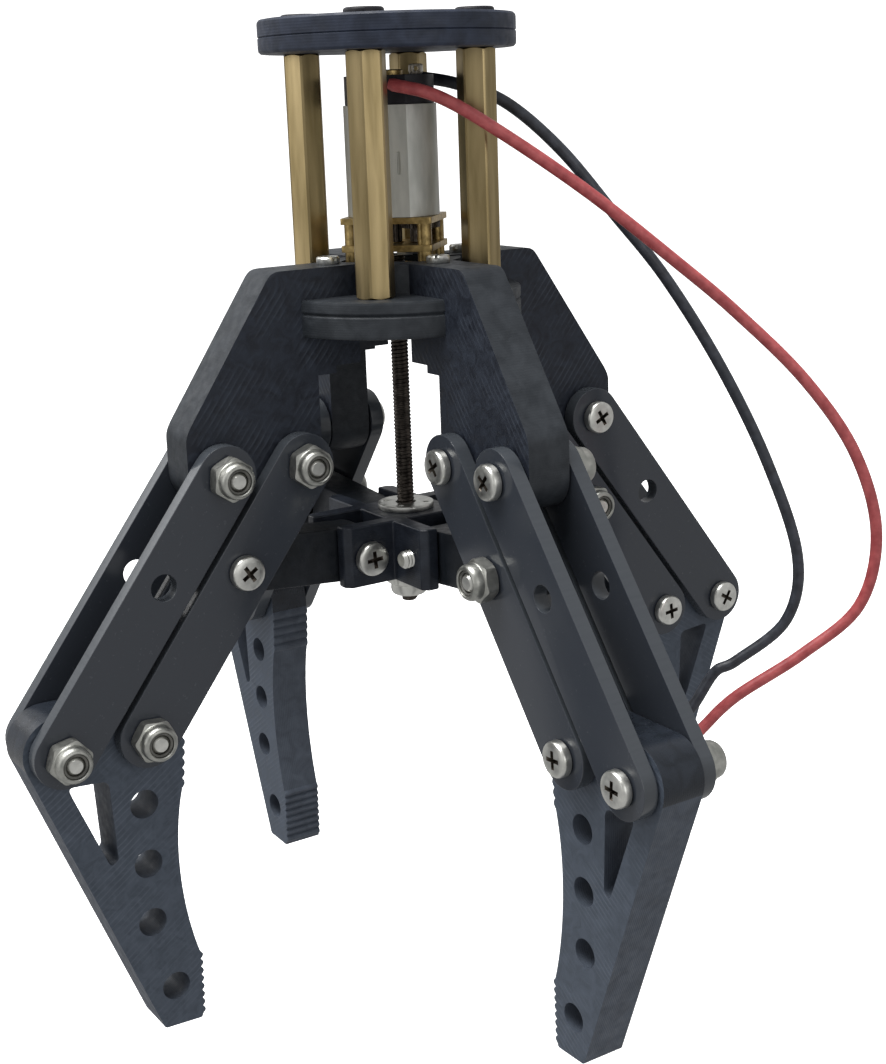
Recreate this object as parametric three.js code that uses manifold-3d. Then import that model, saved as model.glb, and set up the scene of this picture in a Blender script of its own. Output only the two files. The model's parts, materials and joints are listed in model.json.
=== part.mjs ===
// Four-claw gripper driven by a small gear motor and a lead screw.
// Millimetres, +Z up. The origin is the centre of the top plate's upper face; the claws hang below it.
import * as THREE from 'three';
import { mergeVertices } from 'three/addons/utils/BufferGeometryUtils.js';
import Module from 'manifold-3d';

const wasm = await Module();
wasm.setup();

// ---- driving dimensions -------------------------------------------------------------------------

const PLATE_RADIUS = 16.4;
const PLATE_THICKNESS = 4.2;
const STANDOFF_LENGTH = 30;
const STANDOFF_FLATS = 4.5;
const STANDOFF_CIRCLE = 11.4;
const STANDOFF_TURNS = [0, 28.6, 15.6, 49.6].map(THREE.MathUtils.degToRad); // as tightened
const STANDOFF_BORE = 1.25;
const STANDOFF_BORE_DEPTH = 8;
const RING_RADIUS = 16.3;
const RING_THICKNESS = 4.7;
const HUB_RADIUS = 8.5;
const WING_HALF = 3.0;
const WING_RISE = 3.9; // wings and hub stand this far above the ring

const PIVOT_RADIUS = 28.8; // outer frame pivot, from the axis
const PIVOT_SPACING = 11; // between outer and inner pivots, on the frame and on the claw
const PIVOT_DROP = 54.6; // frame pivots below the origin
const LINK_LENGTH = 39.2;
const LINK_END_RADIUS = 4;
const LINK_ANGLE = THREE.MathUtils.degToRad(37.5); // from straight down, claws open
const LINK_MIDDLE = 15.6; // middle hole, from the frame pivot
const PLATE_INNER = 3.3; // link plates lie between these distances from the wing's middle plane
const PLATE_OUTER = 5.3;

const DRIVE_RADIUS = 9.2; // spider pivot, from the axis
const DRIVE_DROP = 68.4; // spider pivot below the origin, claws open
const DRIVE_END_RADIUS = 3.6;
const DRIVE_HALF = 2.8;
const DRIVE_SLOT_REACH = 3.1; // the slot gives the open pivot of the loop its room
const DRIVE_SLOT_RADIUS = 2.6;

const CLAW_HALF = 3.0;
const CLAW_HOLE_RADIUS = 1.9;
const LINK_HOLE_RADIUS = 1.7;

const BOLT_RADIUS = 1.2;
const BOLT_HOLE_RADIUS = 1.5;
const BOLT_HEAD_RADIUS = 2.25;
const BOLT_HEAD_HEIGHT = 1.3;
const NUT_FLATS = 5;
const NUT_HEX_HEIGHT = 1.8;
const NUT_COLLAR_RADIUS = 2.3;
const NUT_COLLAR_HEIGHT = 1.5;
const CLEARANCE = 0.2; // between a bolt head or nut and the face it bears on

const MOTOR_RADIUS = 6;
const MOTOR_HALF = 5; // the can has two flats
const MOTOR_TURN = -Math.PI / 4;
const CAP_TOP = -7.2;
const CAN_TOP = -10.8;
const GEARBOX_TOP = -24.8;
const GEARBOX_HEIGHT = 9;
const GEARBOX_PLATE = 0.8;

const SCREW_RADIUS = 1.2;
const SCREW_BOTTOM = -77.2;
const SCREW_TOP = -30;
const SPIDER_HALF = 5.4;
const SPIDER_REACH = 12.7;
const SPIDER_TOP = -64;
const SPIDER_BOTTOM = -72.2;
const SPIDER_SLOT_HALF = 3.1;
const SPIDER_SLOT_START = 5.3;
const SPIDER_BOSS_RADIUS = 3.8;
const SPIDER_BOSS_HEIGHT = 0.8;

const WIRE_TURN = THREE.MathUtils.degToRad(-31.4); // the two leads leave on this side
const WIRE_RADIUS = 0.8;

const ROUND = 12; // segments in a small circle

// ---- worked out from them -----------------------------------------------------------------------

const ringTop = -(PLATE_THICKNESS + STANDOFF_LENGTH);
const ringBottom = ringTop - RING_THICKNESS;
const wingTop = ringTop + WING_RISE;
const outerPivot = new THREE.Vector2(PIVOT_RADIUS, -PIVOT_DROP);
const innerPivot = new THREE.Vector2(PIVOT_RADIUS - PIVOT_SPACING, -PIVOT_DROP);
const linkDirection = new THREE.Vector2(Math.sin(LINK_ANGLE), -Math.cos(LINK_ANGLE));
const clawPivot = outerPivot.clone().addScaledVector(linkDirection, LINK_LENGTH);
const clawInnerPivot = innerPivot.clone().addScaledVector(linkDirection, LINK_LENGTH);
const drivePivot = innerPivot.clone().addScaledVector(linkDirection, LINK_MIDDLE);
const spiderPivot = new THREE.Vector2(DRIVE_RADIUS, -DRIVE_DROP);
const driveVector = drivePivot.clone().sub(spiderPivot);
const driveLength = driveVector.length();

// ---- materials ----------------------------------------------------------------------------------

const finish = (color, roughness, metalness) => () =>
  new THREE.MeshStandardMaterial({ color, roughness, metalness });
const printedBlack = finish(0x2a2d31, 0.7, 0);
const printedClaw = finish(0x3f474f, 0.65, 0);
const blackAcrylic = finish(0x15171a, 0.15, 0);
const brass = finish(0xa98c52, 0.35, 1);
const steel = finish(0xc9c9c4, 0.3, 1);
const nickel = finish(0x9a9b96, 0.4, 1);
const darkSteel = finish(0x4a4746, 0.45, 1);
const redVinyl = finish(0x9c3b3a, 0.5, 0);
const blackVinyl = finish(0x1d1d1e, 0.5, 0);

// ---- solids -------------------------------------------------------------------------------------

function toSolid(geometry) {
  const bare = geometry.clone();
  bare.deleteAttribute('normal');
  bare.deleteAttribute('uv');
  const merged = mergeVertices(bare, 1e-4);
  return new wasm.Manifold(new wasm.Mesh({
    numProp: 3,
    vertProperties: new Float32Array(merged.attributes.position.array),
    triVerts: new Uint32Array(merged.index.array),
  }));
}

function toGeometry(solid) {
  const mesh = solid.getMesh();
  const geometry = new THREE.BufferGeometry();
  geometry.setAttribute('position', new THREE.BufferAttribute(mesh.vertProperties, 3));
  geometry.setIndex(new THREE.BufferAttribute(mesh.triVerts, 1));
  geometry.computeVertexNormals();
  return geometry;
}

const joined = (solids) => solids.reduce((whole, next) => whole.add(next));
const cut = (solid, tools) => tools.reduce((rest, tool) => rest.subtract(tool), solid);

function box([x0, x1], [y0, y1], [z0, z1]) {
  const geometry = new THREE.BoxGeometry(x1 - x0, y1 - y0, z1 - z0);
  geometry.translate((x0 + x1) / 2, (y0 + y1) / 2, (z0 + z1) / 2);
  return geometry;
}

// A round bar along Z.
function post(radius, [z0, z1], x = 0, y = 0, segments = ROUND) {
  const geometry = new THREE.CylinderGeometry(radius, radius, z1 - z0, segments);
  geometry.rotateX(Math.PI / 2);
  geometry.translate(x, y, (z0 + z1) / 2);
  return geometry;
}

// A round bar across the wing, along Y, through the point (x, z).
function pin(radius, [y0, y1], at, segments = ROUND) {
  const geometry = new THREE.CylinderGeometry(radius, radius, y1 - y0, segments);
  geometry.translate(at.x, (y0 + y1) / 2, at.y);
  return geometry;
}

// A turned shape on Z from an outline of [radius, z] points.
function turned(outline, segments) {
  const geometry = new THREE.LatheGeometry(outline.map(([r, z]) => new THREE.Vector2(r, z)), segments);
  geometry.rotateX(Math.PI / 2);
  return geometry;
}

// An outline in the wing's own plane, (radius, height), given thickness across it.
function slab(shape, [y0, y1]) {
  const geometry = new THREE.ExtrudeGeometry(shape, {
    depth: y1 - y0, bevelEnabled: false, curveSegments: ROUND / 2,
  });
  geometry.rotateX(Math.PI / 2);
  geometry.translate(0, y1, 0);
  return geometry;
}

function upright(shape, [z0, z1]) {
  const geometry = new THREE.ExtrudeGeometry(shape, {
    depth: z1 - z0, bevelEnabled: false, curveSegments: ROUND / 2,
  });
  geometry.translate(0, 0, z0);
  return geometry;
}

// A bar with round ends from the origin to (length, 0).
function roundBar(length, radius) {
  const shape = new THREE.Shape();
  shape.absarc(length, 0, radius, -Math.PI / 2, Math.PI / 2);
  shape.absarc(0, 0, radius, Math.PI / 2, Math.PI * 1.5);
  return shape;
}

function part(name, shape, material) {
  const geometry = shape.isBufferGeometry ? toGeometry(toSolid(shape)) : toGeometry(shape);
  const mesh = new THREE.Mesh(geometry, material());
  mesh.name = name;
  return mesh;
}

// ---- pieces on the axis -------------------------------------------------------------------------

const cornerPoints = [1, 3, 5, 7].map((eighth) => {
  const angle = (eighth * Math.PI) / 4;
  return [STANDOFF_CIRCLE * Math.cos(angle), STANDOFF_CIRCLE * Math.sin(angle)];
});

function topPlate() {
  const edge = 0.5;
  const disc = turned([
    [0, -PLATE_THICKNESS],
    [PLATE_RADIUS - edge, -PLATE_THICKNESS],
    [PLATE_RADIUS, -PLATE_THICKNESS + edge],
    [PLATE_RADIUS, -edge],
    [PLATE_RADIUS - edge, 0],
    [0, 0],
  ], 48);
  const screwHole = 1.6;
  const sinkRadius = 3;
  const sinkDepth = 1.6;
  const holes = cornerPoints.map(([x, y]) => {
    const geometry = turned([
      [0, -PLATE_THICKNESS - 1],
      [screwHole, -PLATE_THICKNESS - 1],
      [screwHole, -sinkDepth],
      [sinkRadius + 0.2, 0.2],
      [0, 0.2],
    ], ROUND);
    geometry.translate(x, y, 0);
    return toSolid(geometry);
  });
  return part('top_plate', cut(toSolid(disc), holes), printedBlack);
}

function standoff(index, turn) {
  const [x, y] = cornerPoints[index];
  const span = [-PLATE_THICKNESS - STANDOFF_LENGTH + 0.02, -PLATE_THICKNESS - 0.02];
  const corner = STANDOFF_FLATS / 2 / Math.cos(Math.PI / 6);
  const hex = toSolid(post(corner, span, 0, 0, 6));
  const edge = 0.35;
  const barrel = turned([
    [0, span[0]],
    [corner - edge, span[0]],
    [corner + 0.1, span[0] + edge + 0.1],
    [corner + 0.1, span[1] - edge - 0.1],
    [corner - edge, span[1]],
    [0, span[1]],
  ], 24);
  const bores = [
    toSolid(post(STANDOFF_BORE, [span[0] - 1, span[0] + STANDOFF_BORE_DEPTH])),
    toSolid(post(STANDOFF_BORE, [span[1] - STANDOFF_BORE_DEPTH, span[1] + 1])),
  ];
  const mesh = part(`standoff_${index + 1}`, cut(hex.intersect(toSolid(barrel)), bores), brass);
  mesh.position.set(x, y, 0);
  mesh.rotation.z = turn;
  return mesh;
}

function wingOutline() {
  const endRadius = 4.2;
  const innerEnd = 3.7;
  const shape = new THREE.Shape();
  shape.moveTo(0, wingTop);
  shape.lineTo(19.2, wingTop);
  shape.quadraticCurveTo(20.1, wingTop, 20.6, wingTop - 0.8);
  shape.lineTo(32.6, -48.8);
  shape.lineTo(outerPivot.x + endRadius, -50.4);
  shape.absarc(outerPivot.x, outerPivot.y, endRadius, 0, -Math.PI / 2, true);
  shape.absarc(innerPivot.x, outerPivot.y - endRadius + innerEnd, innerEnd, -Math.PI / 2, -Math.PI, true);
  shape.lineTo(innerPivot.x - innerEnd, -43.9);
  shape.lineTo(11.4, -43.9);
  shape.lineTo(11.4, -42.9);
  shape.lineTo(7.8, -42.9);
  shape.lineTo(7.8, ringBottom + 1);
  shape.lineTo(0, ringBottom + 1);
  return shape;
}

function frame() {
  const groove = 0.25;
  const grooveAt = ringTop - 1.7;
  const ring = turned([
    [0, ringBottom],
    [RING_RADIUS - 0.4, ringBottom],
    [RING_RADIUS, ringBottom + 0.4],
    [RING_RADIUS, grooveAt - groove],
    [RING_RADIUS - groove, grooveAt],
    [RING_RADIUS, grooveAt + groove],
    [RING_RADIUS, ringTop - 0.3],
    [RING_RADIUS - 0.3, ringTop],
    [0, ringTop],
  ], 48);
  const hub = post(HUB_RADIUS, [ringTop - 1, wingTop], 0, 0, 32);
  const wings = [0, 1, 2, 3].map((quarter) => {
    const geometry = slab(wingOutline(), [-WING_HALF, WING_HALF]);
    geometry.rotateZ((quarter * Math.PI) / 2);
    return toSolid(geometry);
  });
  const pivotHoles = [0, 1, 2, 3].flatMap((quarter) => [outerPivot, innerPivot].map((at) => {
    const geometry = pin(BOLT_HOLE_RADIUS, [-WING_HALF - 1, WING_HALF + 1], at);
    geometry.rotateZ((quarter * Math.PI) / 2);
    return toSolid(geometry);
  }));
  const gap = 0.3;
  const pocket = box(
    [-MOTOR_RADIUS - gap, MOTOR_RADIUS + gap],
    [-MOTOR_HALF - gap, MOTOR_HALF + gap],
    [GEARBOX_TOP - GEARBOX_HEIGHT - 0.1, wingTop + 1],
  );
  pocket.rotateZ(MOTOR_TURN);
  const screwBore = post(3.4, [ringBottom - 6, ringTop + 2], 0, 0, 24);
  const solid = cut(
    joined([toSolid(ring), toSolid(hub), ...wings]),
    [...pivotHoles, toSolid(pocket), toSolid(screwBore)],
  );
  return part('frame', solid, printedBlack);
}

function flatSidedRound(radius, half) {
  const corner = Math.asin(half / radius);
  const shape = new THREE.Shape();
  shape.absarc(0, 0, radius, -corner, corner);
  shape.absarc(0, 0, radius, Math.PI - corner, Math.PI + corner);
  return shape;
}

function motor() {
  const can = upright(flatSidedRound(MOTOR_RADIUS, MOTOR_HALF), [GEARBOX_TOP + 0.02, CAN_TOP]);
  const cap = upright(flatSidedRound(MOTOR_RADIUS - 0.25, MOTOR_HALF - 0.25), [CAN_TOP - 1, CAP_TOP]);
  const bearing = post(1.8, [CAP_TOP - 1, CAP_TOP + 0.7]);
  const terminals = [-1, 1].map((side) =>
    toSolid(box([side * 3.6 - 0.9, side * 3.6 + 0.9], [-0.25, 0.25], [CAP_TOP - 1, CAP_TOP + 1.3])));
  return part('motor', joined([toSolid(can), toSolid(cap), toSolid(bearing), ...terminals]), nickel);
}

function gearbox() {
  const bottom = GEARBOX_TOP - GEARBOX_HEIGHT;
  const middle = GEARBOX_TOP - 3.5;
  const plateSpans = [
    [GEARBOX_TOP - GEARBOX_PLATE, GEARBOX_TOP],
    [middle - GEARBOX_PLATE, middle],
    [bottom, bottom + GEARBOX_PLATE],
  ];
  const plates = plateSpans.map((span) =>
    toSolid(box([-MOTOR_RADIUS, MOTOR_RADIUS], [-MOTOR_HALF, MOTOR_HALF], span)));
  const posts = [[-4.9, 3.9], [4.9, 3.9], [-4.9, -3.9], [4.9, -3.9]].map(([x, y]) =>
    toSolid(post(0.8, [bottom + 0.2, GEARBOX_TOP - 0.2], x, y, 12)));
  const firstGear = post(3, [middle - 0.2, GEARBOX_TOP - 0.2], 1.4, 0, 20);
  const outputGear = post(4, [bottom + 0.2, middle - 0.2], 0, 0, 24);
  const bore = post(BOLT_HOLE_RADIUS, [bottom - 1, SCREW_TOP + 0.3]);
  const whole = joined([...plates, ...posts, toSolid(firstGear), toSolid(outputGear)]);
  return part('gearbox', whole.subtract(toSolid(bore)), brass);
}

function leadScrew() {
  const nutTop = SPIDER_BOTTOM - 0.3;
  const nutBottom = nutTop - 3.6;
  const screw = turned([
    [0, SCREW_BOTTOM],
    [SCREW_RADIUS - 0.3, SCREW_BOTTOM],
    [SCREW_RADIUS, SCREW_BOTTOM + 0.3],
    [SCREW_RADIUS, SCREW_TOP],
    [0, SCREW_TOP],
  ], ROUND);
  const nut = turned([
    [0, nutBottom],
    [2.1, nutBottom],
    [2.5, nutBottom + 0.8],
    [2.8, nutBottom + 1.4],
    [2.8, nutTop - 0.3],
    [2.5, nutTop],
    [0, nutTop],
  ], ROUND);
  return part('lead_screw', joined([toSolid(screw), toSolid(nut)]), darkSteel);
}

function plusShape() {
  const chamfer = 0.8;
  const shape = new THREE.Shape();
  for (let quarter = 0; quarter < 4; quarter += 1) {
    const corners = [
      [SPIDER_HALF, -SPIDER_HALF],
      [SPIDER_REACH - chamfer, -SPIDER_HALF],
      [SPIDER_REACH, -SPIDER_HALF + chamfer],
      [SPIDER_REACH, SPIDER_HALF - chamfer],
      [SPIDER_REACH - chamfer, SPIDER_HALF],
    ].map(([x, y]) => new THREE.Vector2(x, y).rotateAround(new THREE.Vector2(), (quarter * Math.PI) / 2));
    corners.forEach((point, index) => {
      if (quarter === 0 && index === 0) {
        shape.moveTo(point.x, point.y);
      } else {
        shape.lineTo(point.x, point.y);
      }
    });
  }
  return shape;
}

function spider() {
  const body = upright(plusShape(), [SPIDER_BOTTOM, SPIDER_TOP]);
  const boss = post(SPIDER_BOSS_RADIUS, [SPIDER_TOP - 1, SPIDER_TOP + SPIDER_BOSS_HEIGHT], 0, 0, 24);
  const tools = [toSolid(post(1.6, [SPIDER_BOTTOM - 1, SPIDER_TOP + 2]))];
  for (let quarter = 0; quarter < 4; quarter += 1) {
    const slot = box(
      [SPIDER_SLOT_START, SPIDER_REACH + 1],
      [-SPIDER_SLOT_HALF, SPIDER_SLOT_HALF],
      [SPIDER_BOTTOM - 1, SPIDER_TOP + 1],
    );
    const bore = pin(BOLT_HOLE_RADIUS, [-SPIDER_HALF - 1, SPIDER_HALF + 1], spiderPivot);
    [slot, bore].forEach((geometry) => {
      geometry.rotateZ((quarter * Math.PI) / 2);
      tools.push(toSolid(geometry));
    });
  }
  return part('spider', cut(joined([toSolid(body), toSolid(boss)]), tools), printedBlack);
}

// ---- pieces of one arm --------------------------------------------------------------------------

// Round holes through a wing's slab; each is [x, z, radius].
function drilled(solid, holes) {
  return cut(solid, holes.map(([x, z, radius]) =>
    toSolid(pin(radius, [-RING_RADIUS, RING_RADIUS], new THREE.Vector2(x, z)))));
}

function linkPlate(name, pivot, span, middleHole) {
  const bar = toSolid(slab(roundBar(LINK_LENGTH, LINK_END_RADIUS), span));
  const plate = drilled(bar, [
    [0, 0, BOLT_HOLE_RADIUS],
    [LINK_LENGTH, 0, BOLT_HOLE_RADIUS],
    [LINK_MIDDLE, 0, middleHole],
  ]);
  const mesh = part(name, plate, blackAcrylic);
  mesh.position.set(pivot.x, 0, pivot.y);
  mesh.rotation.y = Math.PI / 2 - LINK_ANGLE;
  return mesh;
}

function driveLink(name) {
  const bar = toSolid(slab(roundBar(driveLength, DRIVE_END_RADIUS), [-DRIVE_HALF, DRIVE_HALF]));
  const slot = slab(roundBar(DRIVE_SLOT_REACH, DRIVE_SLOT_RADIUS), [-WING_HALF, WING_HALF]);
  slot.translate(driveLength - DRIVE_SLOT_REACH, 0, 0);
  const solid = drilled(bar, [[0, 0, BOLT_HOLE_RADIUS]]).subtract(toSolid(slot));
  const mesh = part(name, solid, printedBlack);
  mesh.position.set(spiderPivot.x, 0, spiderPivot.y);
  mesh.rotation.y = -Math.atan2(driveVector.y, driveVector.x);
  return mesh;
}

// The claw's outline from its outer pivot: barrel, straight back edge, flat tip, toothed pad,
// hollow inner edge and a second row of teeth beside the inner pivot.
function clawOutline() {
  const barrel = 4.6;
  const tipBack = new THREE.Vector2(-10.6, -41.6);
  const tipFront = new THREE.Vector2(-16.0, -41.8);
  const toothDepth = 0.35;
  const back = Math.asin(barrel / tipBack.length()) + Math.atan2(-tipBack.x, -tipBack.y);
  const shape = new THREE.Shape();
  shape.absarc(0, 0, barrel, Math.PI / 2, -back, true);
  shape.lineTo(tipBack.x, tipBack.y);
  shape.lineTo(tipFront.x, tipFront.y);
  const lowerTeeth = 8;
  const padTop = new THREE.Vector2(-16.3, -32.2);
  for (let tooth = 0; tooth < lowerTeeth; tooth += 1) {
    const from = tipFront.clone().lerp(padTop, (tooth + 0.5) / lowerTeeth);
    const to = tipFront.clone().lerp(padTop, (tooth + 1) / lowerTeeth);
    shape.lineTo(from.x - toothDepth, from.y);
    shape.lineTo(to.x, to.y);
  }
  shape.bezierCurveTo(-14.6, -26.5, -13.4, -17, -15.6, -8.8);
  const upperTeeth = 5;
  const upperStart = new THREE.Vector2(-15.6, -8.8);
  const upperEnd = new THREE.Vector2(-16.2, -2);
  for (let tooth = 0; tooth < upperTeeth; tooth += 1) {
    const from = upperStart.clone().lerp(upperEnd, (tooth + 0.5) / upperTeeth);
    const to = upperStart.clone().lerp(upperEnd, (tooth + 1) / upperTeeth);
    shape.lineTo(from.x - toothDepth, from.y);
    shape.lineTo(to.x, to.y);
  }
  shape.lineTo(-16.2, 1);
  shape.quadraticCurveTo(-15.8, barrel, -12, barrel);
  return shape;
}

function clawWindow() {
  const window = new THREE.Shape();
  window.moveTo(-5.8, -5.4);
  window.lineTo(-2.0, -5.2);
  window.quadraticCurveTo(-0.9, -5.4, -1.3, -6.6);
  window.lineTo(-5.3, -16.4);
  window.quadraticCurveTo(-6.0, -16.6, -6.2, -15.8);
  return window;
}

function claw(name) {
  const blank = toSolid(slab(clawOutline(), [-CLAW_HALF, CLAW_HALF]));
  const window = toSolid(slab(clawWindow(), [-CLAW_HALF - 1, CLAW_HALF + 1]));
  const solid = drilled(blank.subtract(window), [
    [0, 0, BOLT_HOLE_RADIUS],
    [-PIVOT_SPACING, 0, BOLT_HOLE_RADIUS],
    [-10.3, -9.6, CLAW_HOLE_RADIUS],
    [-10.2, -17.8, CLAW_HOLE_RADIUS],
    [-10.1, -26, CLAW_HOLE_RADIUS],
    [-12.6, -36, CLAW_HOLE_RADIUS],
  ]);
  const mesh = part(name, solid, printedClaw);
  mesh.position.set(clawPivot.x, 0, clawPivot.y);
  return mesh;
}

// A pan-head bolt with its lock nut, along Y. side is the side of the wing that its head is on.
function bolt(name, at, side, bearing, lockNut) {
  const under = bearing + CLEARANCE;
  const nutTop = under + NUT_HEX_HEIGHT + NUT_COLLAR_HEIGHT;
  const tip = lockNut ? nutTop - 0.4 : bearing + 0.2;
  const body = turned([
    [0, -tip],
    [BOLT_RADIUS - 0.25, -tip],
    [BOLT_RADIUS, -tip + 0.25],
    [BOLT_RADIUS, under],
    [BOLT_HEAD_RADIUS, under],
    [BOLT_HEAD_RADIUS, under + BOLT_HEAD_HEIGHT * 0.55],
    [BOLT_HEAD_RADIUS * 0.72, under + BOLT_HEAD_HEIGHT],
    [0, under + BOLT_HEAD_HEIGHT],
  ], 12);
  const solids = [toSolid(body)];
  if (lockNut) {
    const hexCorner = NUT_FLATS / 2 / Math.cos(Math.PI / 6);
    solids.push(toSolid(post(hexCorner, [-under - NUT_HEX_HEIGHT, -under], 0, 0, 6)));
    solids.push(toSolid(turned([
      [0, -nutTop],
      [NUT_COLLAR_RADIUS - 0.3, -nutTop],
      [NUT_COLLAR_RADIUS, -nutTop + 0.3],
      [NUT_COLLAR_RADIUS, -under - 0.5],
      [0, -under - 0.5],
    ], 12)));
  }
  const mesh = part(name, joined(solids), steel);
  mesh.position.set(at.x, 0, at.y);
  mesh.rotation.x = side > 0 ? -Math.PI / 2 : Math.PI / 2;
  return mesh;
}

function arm(side, azimuth) {
  const group = new THREE.Group();
  group.rotation.z = azimuth;
  const nutSide = [PLATE_INNER, PLATE_OUTER];
  const headSide = [-PLATE_OUTER, -PLATE_INNER];
  group.add(
    linkPlate(`${side}_outer_link_a`, outerPivot, nutSide, LINK_HOLE_RADIUS),
    linkPlate(`${side}_outer_link_b`, outerPivot, headSide, LINK_HOLE_RADIUS),
    linkPlate(`${side}_inner_link_a`, innerPivot, nutSide, BOLT_HOLE_RADIUS),
    linkPlate(`${side}_inner_link_b`, innerPivot, headSide, BOLT_HOLE_RADIUS),
    claw(`${side}_claw`),
    driveLink(`${side}_drive_link`),
    bolt(`${side}_bolt_frame_outer`, outerPivot, -1, PLATE_OUTER, true),
    bolt(`${side}_bolt_frame_inner`, innerPivot, -1, PLATE_OUTER, true),
    bolt(`${side}_bolt_claw_outer`, clawPivot, -1, PLATE_OUTER, true),
    bolt(`${side}_bolt_claw_inner`, clawInnerPivot, -1, PLATE_OUTER, true),
    bolt(`${side}_bolt_drive`, drivePivot, 1, PLATE_OUTER, true),
    bolt(`${side}_bolt_spider`, spiderPivot, 1, SPIDER_HALF, false),
  );
  return group;
}

// ---- wires --------------------------------------------------------------------------------------

function wire(name, points, material) {
  const section = new THREE.Shape();
  section.absarc(0, 0, WIRE_RADIUS, 0, Math.PI * 2);
  const path = new THREE.CatmullRomCurve3(points.map(([x, y, z]) => new THREE.Vector3(x, y, z)));
  const geometry = new THREE.ExtrudeGeometry(section, {
    steps: 39, extrudePath: path, bevelEnabled: false, curveSegments: 4,
  });
  return part(name, geometry, material);
}

// ---- the gripper --------------------------------------------------------------------------------

const gripper = new THREE.Group();
gripper.add(topPlate(), frame(), leadScrew(), spider());
STANDOFF_TURNS.forEach((turn, index) => gripper.add(standoff(index, turn)));

const driveUnit = new THREE.Group();
driveUnit.rotation.z = MOTOR_TURN;
driveUnit.add(motor(), gearbox());
gripper.add(driveUnit);

const leads = new THREE.Group();
leads.rotation.z = WIRE_TURN;
leads.add(
  wire('red_wire', [
    [0, -6.6, -8.3], [6, -8, -10], [13.4, -8, -14.4], [24.7, -7, -22.4], [36, -6, -31.6],
    [44.1, -5, -38.6], [53.3, -5, -47.9], [60.2, -5, -58], [63.4, -5, -69.1], [61.4, -5, -79.2],
    [53.7, -5, -85.9], [44.6, -5, -91.7], [40.1, -5, -96], [37.4, -5, -99],
  ], redVinyl),
  wire('black_wire', [
    [3.4, 6.4, -7.4], [8.8, 4.6, -8.5], [15.2, 4, -11.1], [22.2, 3, -17.3], [29.2, 3, -25.9],
    [36.1, 3, -34.7], [43.7, 3, -47.1], [50.3, 3, -60.8], [54.7, 3, -74.3], [53.3, 3, -83.5],
    [46.3, 3, -89.3], [43.2, 3, -90.9], [40.4, 3, -95.4], [38, 3, -98.6],
  ], blackVinyl),
);
gripper.add(leads);

[['right', 0], ['back', 1], ['left', 2], ['front', 3]].forEach(([side, quarter]) => {
  gripper.add(arm(side, (quarter * Math.PI) / 2));
});

export default gripper;
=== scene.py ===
"""Looks of a four-claw gripper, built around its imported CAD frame.

Shapes are made in millimetres and turned into metres when they become meshes. A piece of one arm is made
in that arm's own plane: x runs outwards from the lead screw, y across the arm and z up.
"""

import json
import math
import random

import bmesh
import bpy
from mathutils import Matrix, Vector


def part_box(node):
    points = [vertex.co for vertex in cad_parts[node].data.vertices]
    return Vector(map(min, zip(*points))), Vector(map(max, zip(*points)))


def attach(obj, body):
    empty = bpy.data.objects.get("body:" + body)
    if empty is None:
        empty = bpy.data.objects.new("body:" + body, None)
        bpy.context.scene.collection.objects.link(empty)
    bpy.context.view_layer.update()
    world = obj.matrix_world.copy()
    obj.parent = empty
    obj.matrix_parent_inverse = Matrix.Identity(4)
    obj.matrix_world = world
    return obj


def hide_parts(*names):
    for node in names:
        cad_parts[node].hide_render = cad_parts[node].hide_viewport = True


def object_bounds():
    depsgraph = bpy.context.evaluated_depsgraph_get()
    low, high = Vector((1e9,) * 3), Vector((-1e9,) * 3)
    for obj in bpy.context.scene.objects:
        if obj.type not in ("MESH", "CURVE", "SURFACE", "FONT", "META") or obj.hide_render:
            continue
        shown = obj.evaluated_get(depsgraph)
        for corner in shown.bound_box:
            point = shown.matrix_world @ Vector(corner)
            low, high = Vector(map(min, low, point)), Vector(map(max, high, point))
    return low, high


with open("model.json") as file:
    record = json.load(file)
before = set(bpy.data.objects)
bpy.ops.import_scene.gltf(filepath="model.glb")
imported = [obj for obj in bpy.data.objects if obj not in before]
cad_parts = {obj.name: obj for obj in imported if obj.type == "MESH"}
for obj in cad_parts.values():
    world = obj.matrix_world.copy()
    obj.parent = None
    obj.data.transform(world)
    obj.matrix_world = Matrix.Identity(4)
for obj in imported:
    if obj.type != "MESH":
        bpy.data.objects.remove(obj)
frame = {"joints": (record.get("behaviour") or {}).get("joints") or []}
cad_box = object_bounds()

MM = 0.001
TURN = 2 * math.pi
AZIMUTHS = {"right": 0, "back": 90, "left": 180, "front": 270}

# ---- places, read from the frame ----------------------------------------------------------------

JOINTS = {joint["name"]: joint for joint in frame["joints"]}


def pivot(joint):
    """(distance from the screw's axis, height) of a hinge, in millimetres."""
    x, y, z = JOINTS[joint]["pos_m"]
    return Vector((math.hypot(x, y), z)) / MM


def box_mm(node):
    low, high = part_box(node)
    return low / MM, high / MM


def middle(node):
    """(distance from the screw's axis, height) of a node's middle, in millimetres."""
    low, high = box_mm(node)
    centre = (low + high) / 2
    return Vector((math.hypot(centre.x, centre.y), centre.z))


FRAME_OUTER = pivot("right_outer_link_turn")
FRAME_INNER = pivot("right_inner_link_turn")
CLAW_OUTER = pivot("right_claw_turn")
SPIDER_PIN = pivot("right_drive_link_turn")
DRIVE_PIN = middle("right_bolt_drive")
PIVOT_SPACING = FRAME_OUTER.x - FRAME_INNER.x
CLAW_INNER = CLAW_OUTER - Vector((PIVOT_SPACING, 0))
LINK = CLAW_OUTER - FRAME_OUTER
DRIVE = DRIVE_PIN - SPIDER_PIN

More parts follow.
